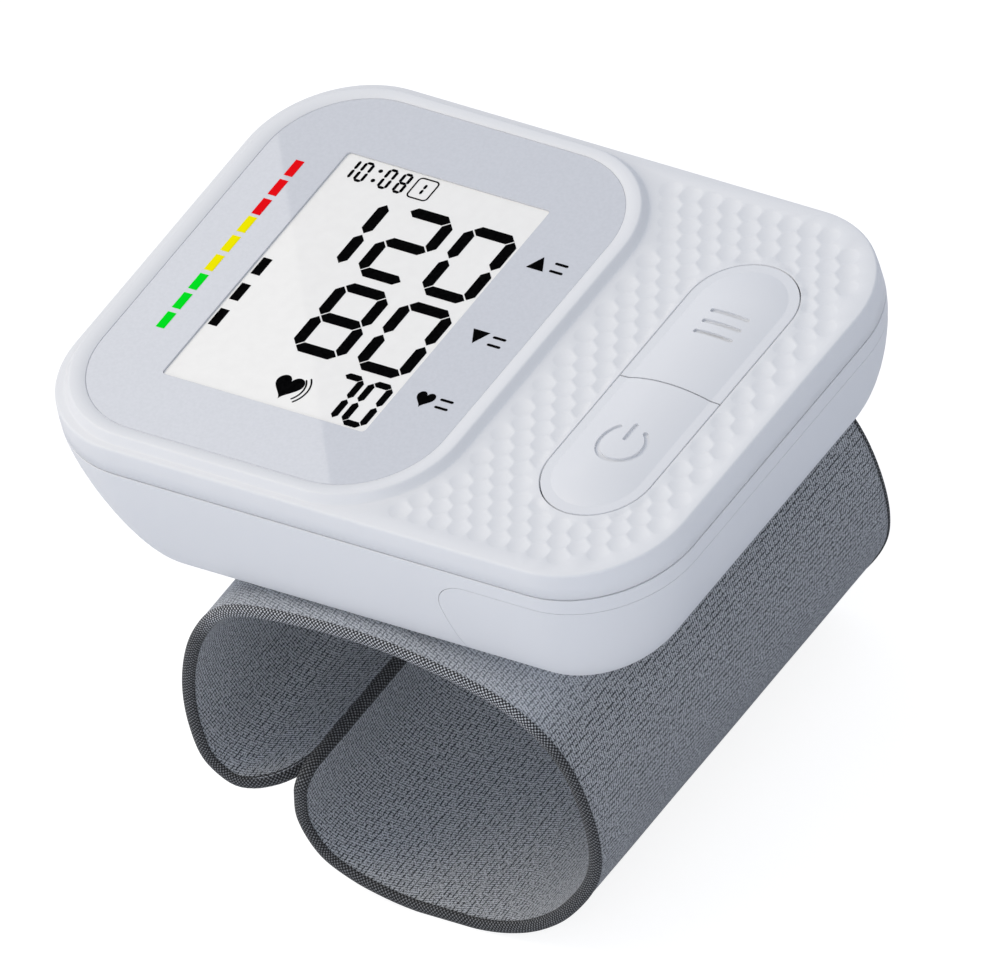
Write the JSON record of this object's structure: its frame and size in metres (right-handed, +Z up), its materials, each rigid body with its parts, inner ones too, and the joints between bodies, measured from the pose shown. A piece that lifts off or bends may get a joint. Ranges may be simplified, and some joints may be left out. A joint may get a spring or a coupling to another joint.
{
  "type": "wrist blood pressure monitor",
  "caption": "White wrist blood pressure monitor: a case with a raised display and a long two-part button, standing on a curled grey knitted cuff that opens at its ends.",
  "frame": {"origin": "under the middle of the case, at the lowest side of the cuff", "axes": "+X along the display's lines to the button side, +Y towards the top of the display, +Z up out of the display"},
  "size_m": [0.0816, 0.0604, 0.063],
  "materials": {
    "white_plastic": "fine satin, cool white",
    "button_plastic": "smooth satin, cool white",
    "lens": "clear window with a pale grey printed border",
    "lcd": "off-white segment display",
    "black_plastic": "matte",
    "rubber": "matte",
    "board": "solder mask",
    "steel": "plain",
    "brass": "plain",
    "silicone": "translucent tube",
    "cell": "printed sleeve",
    "stay_plastic": "plain",
    "knit": "grey melange rib knit",
    "lining": "grey melange rib knit",
    "tape": "dark woven edge tape",
    "hook": "hook tape"
  },
  "bodies": {
    "case": {"top_cover": "white_plastic", "bottom_case": "white_plastic", "display_lens": "lens", "lcd_panel": "lcd", "lcd_frame": "black_plastic", "zebra_strip": "rubber", "power_switch": "black_plastic", "memory_switch": "black_plastic", "main_board": "board", "control_chip": "black_plastic", "buzzer": "black_plastic", "pump_motor": "steel", "pump_head": "black_plastic", "release_valve": "steel", "pressure_sensor": "black_plastic", "air_tee": "stay_plastic", "pump_hose": "silicone", "valve_hose": "silicone", "sensor_hose": "silicone", "cuff_nipple": "stay_plastic", "battery_1": "cell", "battery_2": "cell", "contact_bridge": "brass", "contact_plus": "brass", "contact_minus": "brass", "case_screw_1": "steel", "case_screw_2": "steel", "case_screw_3": "steel", "case_screw_4": "steel", "cuff_mount_plate": "stay_plastic", "cuff_outer_center": "knit", "cuff_stay": "stay_plastic", "cuff_bladder": "rubber", "cuff_lining_center": "lining", "center_binding_near": "tape", "center_binding_far": "tape"},
    "power_key": {"power_button": "button_plastic", "power_actuator": "rubber"},
    "memory_key": {"memory_button": "button_plastic", "memory_actuator": "rubber"},
    "door": {"battery_door": "white_plastic"},
    "left_flap": {"left_flap_outer": "knit", "left_flap_stay": "stay_plastic", "left_flap_lining": "lining", "left_binding_near": "tape", "left_binding_far": "tape", "hook_patch": "hook"},
    "right_flap": {"right_flap_outer": "knit", "right_flap_stay": "stay_plastic", "right_flap_lining": "lining", "right_binding_near": "tape", "right_binding_far": "tape"}
  },
  "joints": [
    {"name": "power_press", "type": "slide", "parent": "case", "child": "power_key", "axis": [0, 0, -1], "range_m": [0, 0.0005], "stiffness_N_per_m": 900, "springref_m": -0.0008},
    {"name": "memory_press", "type": "slide", "parent": "case", "child": "memory_key", "axis": [0, 0, -1], "range_m": [0, 0.0005], "stiffness_N_per_m": 900, "springref_m": -0.0008},
    {"name": "door_slide", "type": "slide", "parent": "case", "child": "door", "axis": [1, 0, 0], "range_m": [0, 0.03]},
    {"name": "left_flap_open", "type": "hinge", "parent": "case", "child": "left_flap", "pos_m": [-0.029, 0, 0.0195], "axis": [0, 1, 0], "range_deg": [0, 60], "stiffness_Nm_per_rad": 0.05, "springref_deg": -8.59},
    {"name": "right_flap_open", "type": "hinge", "parent": "case", "child": "right_flap", "pos_m": [0.0256, 0, 0.0235], "axis": [0, -1, 0], "range_deg": [0, 80], "stiffness_Nm_per_rad": 0.05, "springref_deg": -8.59}
  ]
}
